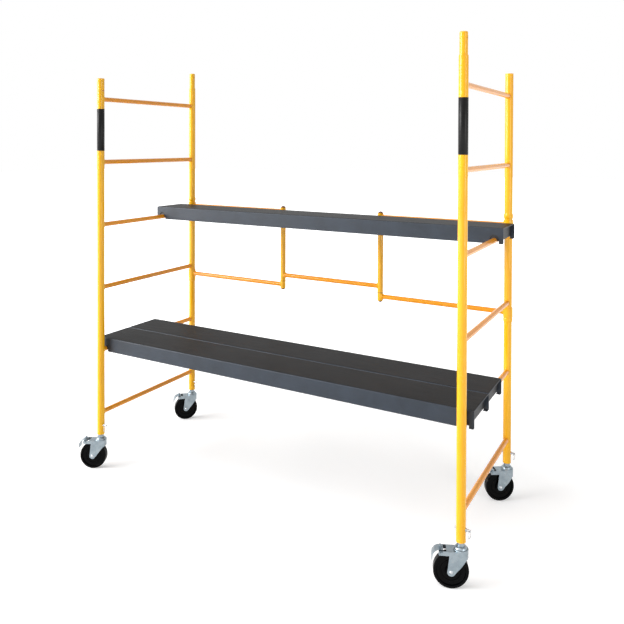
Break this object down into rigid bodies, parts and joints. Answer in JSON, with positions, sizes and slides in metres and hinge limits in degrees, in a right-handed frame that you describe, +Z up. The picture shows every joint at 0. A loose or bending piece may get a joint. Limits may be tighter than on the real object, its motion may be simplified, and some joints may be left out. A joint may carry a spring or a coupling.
{
  "type": "frame scaffold section",
  "caption": "Rolling frame scaffold section: two ladder end frames, a folding rear gate, hooked-on planks at two levels and lockable swivel casters.",
  "frame": {"origin": "bottom centre of the whole section, on the ground", "axes": "+X along the planks from the left frame to the right frame, +Y from the open front to the rear gate, +Z up"},
  "size_m": [1.9314, 0.7766, 1.9795],
  "materials": {
    "yellow_coat": "gloss powder coat",
    "pin_coat": "gloss powder coat",
    "plank_coat": "satin powder coat",
    "anti_slip": "fine grit",
    "saddle": "moulded",
    "wheel": "gloss moulded",
    "bearing_steel": "polished",
    "bright_steel": "bright zinc",
    "zinc_plate": "pressed and zinc plated"
  },
  "bodies": {
    "frame": {"left_front_post": "yellow_coat", "left_rear_post": "yellow_coat", "right_front_post": "yellow_coat", "right_rear_post": "yellow_coat", "left_rear_spigot": "yellow_coat", "right_front_spigot": "yellow_coat", "left_rungs": "yellow_coat", "gate_left_rails": "yellow_coat", "gate_left_collars": "yellow_coat", "gate_left_sleeves": "yellow_coat", "right_rungs": "yellow_coat", "gate_right_rails": "yellow_coat", "gate_right_collars": "yellow_coat", "gate_right_sleeves": "yellow_coat", "gate_middle_uprights": "yellow_coat", "gate_middle_rails": "yellow_coat", "gate_hinge_pins": "pin_coat", "gate_stop_beads": "yellow_coat", "left_front_caster_balls": "bearing_steel", "left_front_caster_head": "zinc_plate", "left_rear_caster_balls": "bearing_steel", "left_rear_caster_head": "zinc_plate", "right_front_caster_balls": "bearing_steel", "right_front_caster_head": "zinc_plate", "right_rear_caster_balls": "bearing_steel", "right_rear_caster_head": "zinc_plate"},
    "front_plank": {"front_plank_deck": "plank_coat", "front_plank_mat": "anti_slip", "front_plank_saddles": "saddle"},
    "middle_plank": {"middle_plank_deck": "plank_coat", "middle_plank_mat": "anti_slip", "middle_plank_saddles": "saddle"},
    "upper_plank": {"upper_plank_deck": "plank_coat", "upper_plank_mat": "anti_slip", "upper_plank_saddles": "saddle"},
    "left_front_fork": {"left_front_caster_fork": "zinc_plate", "left_front_caster_axle": "bright_steel"},
    "left_front_wheel": {"left_front_caster_wheel": "wheel", "left_front_caster_bush": "bright_steel"},
    "left_front_brake": {"left_front_caster_brake": "zinc_plate"},
    "left_front_pin": {"left_front_lock_pin": "bright_steel"},
    "left_rear_fork": {"left_rear_caster_fork": "zinc_plate", "left_rear_caster_axle": "bright_steel"},
    "left_rear_wheel": {"left_rear_caster_wheel": "wheel", "left_rear_caster_bush": "bright_steel"},
    "left_rear_brake": {"left_rear_caster_brake": "zinc_plate"},
    "left_rear_pin": {"left_rear_lock_pin": "bright_steel"},
    "right_front_fork": {"right_front_caster_fork": "zinc_plate", "right_front_caster_axle": "bright_steel"},
    "right_front_wheel": {"right_front_caster_wheel": "wheel", "right_front_caster_bush": "bright_steel"},
    "right_front_brake": {"right_front_caster_brake": "zinc_plate"},
    "right_front_pin": {"right_front_lock_pin": "bright_steel"},
    "right_rear_fork": {"right_rear_caster_fork": "zinc_plate", "right_rear_caster_axle": "bright_steel"},
    "right_rear_wheel": {"right_rear_caster_wheel": "wheel", "right_rear_caster_bush": "bright_steel"},
    "right_rear_brake": {"right_rear_caster_brake": "zinc_plate"},
    "right_rear_pin": {"right_rear_lock_pin": "bright_steel"}
  },
  "joints": [
    {"name": "front_plank_lift", "type": "slide", "parent": "frame", "child": "front_plank", "axis": [0, 0, 1], "range_m": [0, 0.2]},
    {"name": "middle_plank_lift", "type": "slide", "parent": "frame", "child": "middle_plank", "axis": [0, 0, 1], "range_m": [0, 0.2]},
    {"name": "upper_plank_lift", "type": "slide", "parent": "frame", "child": "upper_plank", "axis": [0, 0, 1], "range_m": [0, 0.2]},
    {"name": "left_front_swivel", "type": "hinge", "parent": "frame", "child": "left_front_fork", "pos_m": [-0.86432, -0.32724, 0.133], "axis": [0, 0, 1], "continuous": true},
    {"name": "left_front_roll", "type": "hinge", "parent": "left_front_fork", "child": "left_front_wheel", "pos_m": [-0.89578, -0.34259, 0.0635], "axis": [-0.4384, 0.8988, 0], "continuous": true},
    {"name": "left_front_brake_pedal", "type": "hinge", "parent": "left_front_fork", "child": "left_front_brake", "pos_m": [-0.92723, -0.35793, 0.12875], "axis": [-0.4384, 0.8988, 0], "range_deg": [-10, 0]},
    {"name": "left_front_pin_pull", "type": "slide", "parent": "frame", "child": "left_front_pin", "axis": [1, 0, 0], "range_m": [0, 0.05]},
    {"name": "left_rear_swivel", "type": "hinge", "parent": "frame", "child": "left_rear_fork", "pos_m": [-0.86432, 0.35876, 0.133], "axis": [0, 0, 1], "continuous": true},
    {"name": "left_rear_roll", "type": "hinge", "parent": "left_rear_fork", "child": "left_rear_wheel", "pos_m": [-0.88863, 0.33358, 0.0635], "axis": [-0.7193, 0.6947, 0], "continuous": true},
    {"name": "left_rear_brake_pedal", "type": "hinge", "parent": "left_rear_fork", "child": "left_rear_brake", "pos_m": [-0.91294, 0.3084, 0.12875], "axis": [-0.7193, 0.6947, 0], "range_deg": [-10, 0]},
    {"name": "left_rear_pin_pull", "type": "slide", "parent": "frame", "child": "left_rear_pin", "axis": [1, 0, 0], "range_m": [0, 0.05]},
    {"name": "right_front_swivel", "type": "hinge", "parent": "frame", "child": "right_front_fork", "pos_m": [0.92768, -0.32724, 0.133], "axis": [0, 0, 1], "continuous": true},
    {"name": "right_front_roll", "type": "hinge", "parent": "right_front_fork", "child": "right_front_wheel", "pos_m": [0.89546, -0.34092, 0.0635], "axis": [-0.3907, 0.9205, 0], "continuous": true},
    {"name": "right_front_brake_pedal", "type": "hinge", "parent": "right_front_fork", "child": "right_front_brake", "pos_m": [0.86325, -0.35459, 0.12875], "axis": [-0.3907, 0.9205, 0], "range_deg": [-10, 0]},
    {"name": "right_front_pin_pull", "type": "slide", "parent": "frame", "child": "right_front_pin", "axis": [1, 0, 0], "range_m": [0, 0.05]},
    {"name": "right_rear_swivel", "type": "hinge", "parent": "frame", "child": "right_rear_fork", "pos_m": [0.92768, 0.35876, 0.133], "axis": [0, 0, 1], "continuous": true},
    {"name": "right_rear_roll", "type": "hinge", "parent": "right_rear_fork", "child": "right_rear_wheel", "pos_m": [0.89867, 0.33918, 0.0635], "axis": [-0.5592, 0.829, 0], "continuous": true},
    {"name": "right_rear_brake_pedal", "type": "hinge", "parent": "right_rear_fork", "child": "right_rear_brake", "pos_m": [0.86965, 0.31961, 0.12875], "axis": [-0.5592, 0.829, 0], "range_deg": [-10, 0]},
    {"name": "right_rear_pin_pull", "type": "slide", "parent": "frame", "child": "right_rear_pin", "axis": [1, 0, 0], "range_m": [0, 0.05]}
  ]
}
